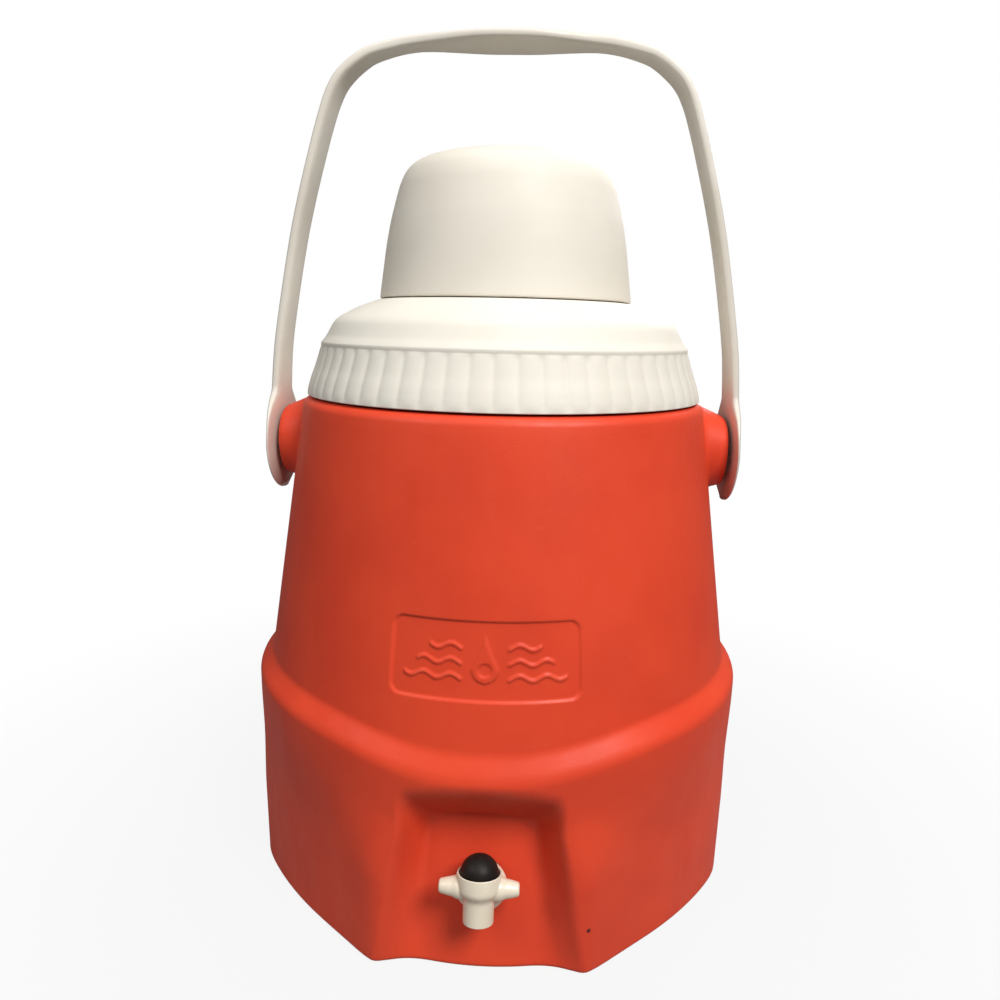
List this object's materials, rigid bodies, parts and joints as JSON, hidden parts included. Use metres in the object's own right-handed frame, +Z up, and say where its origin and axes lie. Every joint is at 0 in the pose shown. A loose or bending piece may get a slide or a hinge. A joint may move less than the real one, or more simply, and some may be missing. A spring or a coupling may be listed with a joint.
{
  "type": "insulated drink dispenser",
  "caption": "Insulated drink jug with a screw lid, a drinking cup, a bail handle and a push-button tap set in a recess.",
  "frame": {"origin": "middle of the underside, on the surface the jug stands on, on the axis of the lid and the tank", "axes": "+Z up; the tap faces -Y; the handle swings about X"},
  "size_m": [0.234, 0.2423, 0.3798],
  "materials": {
    "orange_shell": "satin",
    "lid": "satin",
    "cup": "satin",
    "handle": "satin",
    "liner": "satin",
    "tap": "gloss",
    "black_rubber": "matte",
    "seal": "matte",
    "foam": "matte",
    "spring": "satin"
  },
  "bodies": {
    "jug": {"outer_shell": "orange_shell", "base_cover": "orange_shell", "foam_fill_plug": "black_rubber", "insulation_foam": "foam", "inner_liner": "liner", "pivot_bush_left": "liner", "pivot_bush_right": "liner", "tap_body": "tap", "tap_stem_seal": "seal", "tap_outer_gasket": "seal", "tap_sleeve": "liner", "tap_inner_gasket": "seal", "tap_nut": "tap"},
    "lid_seal": {"lid_gasket": "seal"},
    "lid": {"lid_shell": "lid", "lid_inner": "lid", "lid_foam": "foam"},
    "cup": {"drinking_cup": "cup"},
    "vent": {"vent_plug": "lid", "vent_seal": "seal"},
    "handle": {"handle": "handle"},
    "button": {"tap_button": "black_rubber", "tap_stem": "tap", "tap_valve": "seal", "tap_spring": "spring"}
  },
  "joints": [
    {"name": "handle_swing", "type": "hinge", "parent": "jug", "child": "handle", "pos_m": [0, 0, 0.1996], "axis": [1, 0, 0], "range_deg": [-130, 130]},
    {"name": "lid_rise", "type": "slide", "parent": "jug", "child": "lid_seal", "axis": [0, 0, 1], "range_m": [0, 0.0361]},
    {"name": "lid_turn", "type": "hinge", "parent": "lid_seal", "child": "lid", "pos_m": [0, 0, 0.2228], "axis": [0, 0, 1], "range_deg": [0, 810]},
    {"name": "cup_lift", "type": "slide", "parent": "lid", "child": "cup", "axis": [0, 0, 1], "range_m": [0, 0.036]},
    {"name": "vent_pull", "type": "slide", "parent": "lid", "child": "vent", "axis": [0, 0, 1], "range_m": [0, 0.02]},
    {"name": "button_press", "type": "slide", "parent": "jug", "child": "button", "axis": [0, -0.2079, -0.9781], "range_m": [0, 0.003], "stiffness_N_per_m": 400, "springref_m": -0.004, "deforming": ["tap_spring"]}
  ],
  "couplings": [
    {"joint": "lid_rise", "follows": "lid_turn", "m_per_rad": 0.0025465}
  ]
}
